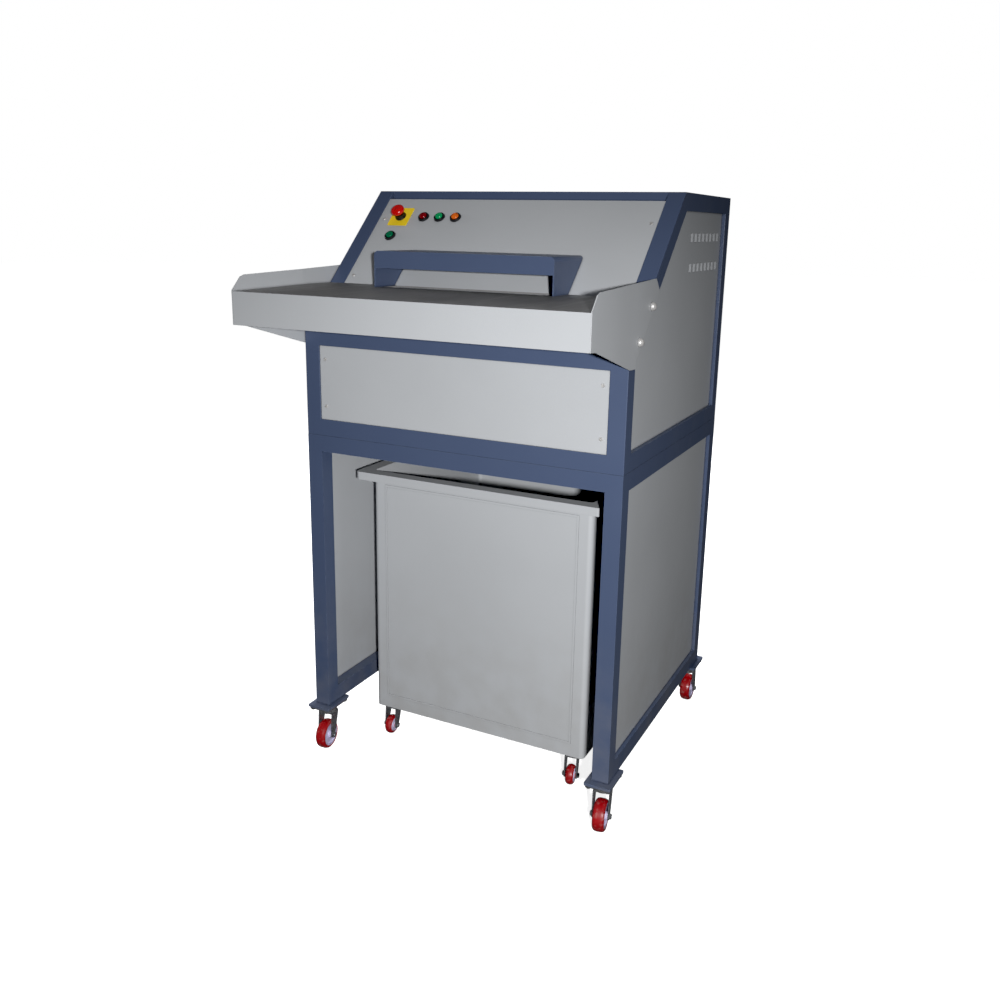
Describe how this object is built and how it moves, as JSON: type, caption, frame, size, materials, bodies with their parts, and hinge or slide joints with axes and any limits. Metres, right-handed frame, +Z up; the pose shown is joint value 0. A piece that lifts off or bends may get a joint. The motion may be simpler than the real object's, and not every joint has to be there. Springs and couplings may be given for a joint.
{
  "type": "paper shredder",
  "caption": "Floor-standing paper shredder: tube frame with sheet panels, a feed tray under a guard hood, a cutter block, and a wheeled waste bin that rolls out of the stand.",
  "frame": {"origin": "on the floor, under the centre of the whole machine", "axes": "+Z up, +X to the right seen from the operator's side, the feed tray faces -Y"},
  "size_m": [0.838, 0.9925, 1.425],
  "materials": {
    "frame_blue": "textured powder coat",
    "panel_grey": "fine textured powder coat",
    "deck_grey": "satin paint, worn by paper",
    "bare_steel": "machined",
    "tool_steel": "oiled, ground",
    "zinc": "zinc plated",
    "cast_grey": "machine enamel",
    "box_grey": "textured powder coat",
    "black_plastic": "moulded",
    "yellow_plastic": "moulded",
    "red_plastic": "moulded",
    "lamp_red_lens": "translucent lens",
    "lamp_green_lens": "translucent lens",
    "lamp_orange_lens": "translucent lens",
    "green_plastic": "moulded",
    "hub_lilac": "moulded nylon",
    "wheel_red": "polyurethane"
  },
  "bodies": {
    "machine": {"machine_frame": "frame_blue", "stand_frame": "frame_blue", "front_panel": "panel_grey", "control_panel": "panel_grey", "left_side_panel": "panel_grey", "right_side_panel": "panel_grey", "back_panel": "panel_grey", "top_cover": "panel_grey", "stand_left_panel": "panel_grey", "stand_right_panel": "panel_grey", "stand_back_panel": "panel_grey", "panel_screws": "bare_steel", "tray_deck": "deck_grey", "tray_front": "panel_grey", "tray_left_cheek": "panel_grey", "tray_right_cheek": "panel_grey", "cheek_bolts": "zinc", "feed_hood": "frame_blue", "feed_throat": "bare_steel", "cutter_frame": "cast_grey", "cutter_bearings": "tool_steel", "stripper_combs": "tool_steel", "discharge_chute": "panel_grey", "gear_motor": "cast_grey", "control_box": "box_grey", "inlet_gland": "black_plastic", "estop_plate": "yellow_plastic", "switch_bezels": "black_plastic", "lamp_red": "lamp_red_lens", "lamp_green": "lamp_green_lens", "lamp_orange": "lamp_orange_lens", "caster_plates": "zinc"},
    "front_shaft": {"front_cutter_shaft": "tool_steel", "front_timing_gear": "cast_grey"},
    "rear_shaft": {"rear_cutter_shaft": "tool_steel", "rear_timing_gear": "cast_grey"},
    "estop": {"estop_button": "red_plastic"},
    "start": {"start_button": "green_plastic"},
    "bin": {"waste_bin": "panel_grey", "bin_caster_plates": "zinc"},
    "caster_fl_fork": {"caster_fl_fork": "zinc"},
    "caster_fl_wheel": {"caster_fl_hub": "hub_lilac", "caster_fl_tyre": "wheel_red"},
    "caster_fr_fork": {"caster_fr_fork": "zinc"},
    "caster_fr_wheel": {"caster_fr_hub": "hub_lilac", "caster_fr_tyre": "wheel_red"},
    "caster_bl_fork": {"caster_bl_fork": "zinc"},
    "caster_bl_wheel": {"caster_bl_hub": "hub_lilac", "caster_bl_tyre": "wheel_red"},
    "caster_br_fork": {"caster_br_fork": "zinc"},
    "caster_br_wheel": {"caster_br_hub": "hub_lilac", "caster_br_tyre": "wheel_red"},
    "bin_caster_fl_fork": {"bin_caster_fl_fork": "zinc"},
    "bin_caster_fl_wheel": {"bin_caster_fl_wheel": "wheel_red"},
    "bin_caster_fr_fork": {"bin_caster_fr_fork": "zinc"},
    "bin_caster_fr_wheel": {"bin_caster_fr_wheel": "wheel_red"},
    "bin_caster_bl_fork": {"bin_caster_bl_fork": "zinc"},
    "bin_caster_bl_wheel": {"bin_caster_bl_wheel": "wheel_red"},
    "bin_caster_br_fork": {"bin_caster_br_fork": "zinc"},
    "bin_caster_br_wheel": {"bin_caster_br_wheel": "wheel_red"}
  },
  "joints": [
    {"name": "bin_slide", "type": "slide", "parent": "machine", "child": "bin", "axis": [0, -1, 0], "range_m": [0, 0.62]},
    {"name": "estop_press", "type": "slide", "parent": "machine", "child": "estop", "axis": [0, -0.6995, 0.7146], "range_m": [-0.004, 0]},
    {"name": "start_press", "type": "slide", "parent": "machine", "child": "start", "axis": [0, -0.6995, 0.7146], "range_m": [-0.0025, 0], "stiffness_N_per_m": 400},
    {"name": "rear_shaft_spin", "type": "hinge", "parent": "machine", "child": "rear_shaft", "pos_m": [0, -0.04025, 0.985], "axis": [1, 0, 0], "continuous": true},
    {"name": "front_shaft_spin", "type": "hinge", "parent": "machine", "child": "front_shaft", "pos_m": [0, -0.12025, 0.985], "axis": [1, 0, 0], "continuous": true},
    {"name": "caster_fl_swivel", "type": "hinge", "parent": "machine", "child": "caster_fl_fork", "pos_m": [-0.385, -0.24425, 0.09], "axis": [0, 0, 1], "continuous": true},
    {"name": "caster_fl_roll", "type": "hinge", "parent": "caster_fl_fork", "child": "caster_fl_wheel", "pos_m": [-0.38343, -0.25917, 0.0375], "axis": [0.9945, 0.1045, 0], "continuous": true},
    {"name": "caster_fr_swivel", "type": "hinge", "parent": "machine", "child": "caster_fr_fork", "pos_m": [0.385, -0.24425, 0.09], "axis": [0, 0, 1], "continuous": true},
    {"name": "caster_fr_roll", "type": "hinge", "parent": "caster_fr_fork", "child": "caster_fr_wheel", "pos_m": [0.38735, -0.25907, 0.0375], "axis": [0.9877, 0.1564, 0], "continuous": true},
    {"name": "caster_bl_swivel", "type": "hinge", "parent": "machine", "child": "caster_bl_fork", "pos_m": [-0.385, 0.44375, 0.09], "axis": [0, 0, 1], "continuous": true},
    {"name": "caster_bl_roll", "type": "hinge", "parent": "caster_bl_fork", "child": "caster_bl_wheel", "pos_m": [-0.385, 0.45875, 0.0375], "axis": [-1, 0, 0], "continuous": true},
    {"name": "caster_br_swivel", "type": "hinge", "parent": "machine", "child": "caster_br_fork", "pos_m": [0.385, 0.44375, 0.09], "axis": [0, 0, 1], "continuous": true},
    {"name": "caster_br_roll", "type": "hinge", "parent": "caster_br_fork", "child": "caster_br_wheel", "pos_m": [0.385, 0.45875, 0.0375], "axis": [-1, 0, 0], "continuous": true},
    {"name": "bin_caster_fl_swivel", "type": "hinge", "parent": "bin", "child": "bin_caster_fl_fork", "pos_m": [-0.273, -0.10125, 0.09], "axis": [0, 0, 1], "continuous": true},
    {"name": "bin_caster_fl_roll", "type": "hinge", "parent": "bin_caster_fl_fork", "child": "bin_caster_fl_wheel", "pos_m": [-0.27216, -0.11723, 0.025], "axis": [0.9986, 0.0523, 0], "continuous": true},
    {"name": "bin_caster_fr_swivel", "type": "hinge", "parent": "bin", "child": "bin_caster_fr_fork", "pos_m": [0.251, -0.10125, 0.09], "axis": [0, 0, 1], "continuous": true},
    {"name": "bin_caster_fr_roll", "type": "hinge", "parent": "bin_caster_fr_fork", "child": "bin_caster_fr_wheel", "pos_m": [0.25378, -0.11701, 0.025], "axis": [0.9848, 0.1736, 0], "continuous": true},
    {"name": "bin_caster_bl_swivel", "type": "hinge", "parent": "bin", "child": "bin_caster_bl_fork", "pos_m": [-0.273, 0.37375, 0.09], "axis": [0, 0, 1], "continuous": true},
    {"name": "bin_caster_bl_roll", "type": "hinge", "parent": "bin_caster_bl_fork", "child": "bin_caster_bl_wheel", "pos_m": [-0.273, 0.35775, 0.025], "axis": [1, 0, 0], "continuous": true},
    {"name": "bin_caster_br_swivel", "type": "hinge", "parent": "bin", "child": "bin_caster_br_fork", "pos_m": [0.251, 0.37375, 0.09], "axis": [0, 0, 1], "continuous": true},
    {"name": "bin_caster_br_roll", "type": "hinge", "parent": "bin_caster_br_fork", "child": "bin_caster_br_wheel", "pos_m": [0.251, 0.35775, 0.025], "axis": [1, 0, 0], "continuous": true}
  ],
  "couplings": [
    {"joint": "front_shaft_spin", "follows": "rear_shaft_spin", "ratio": -1}
  ]
}
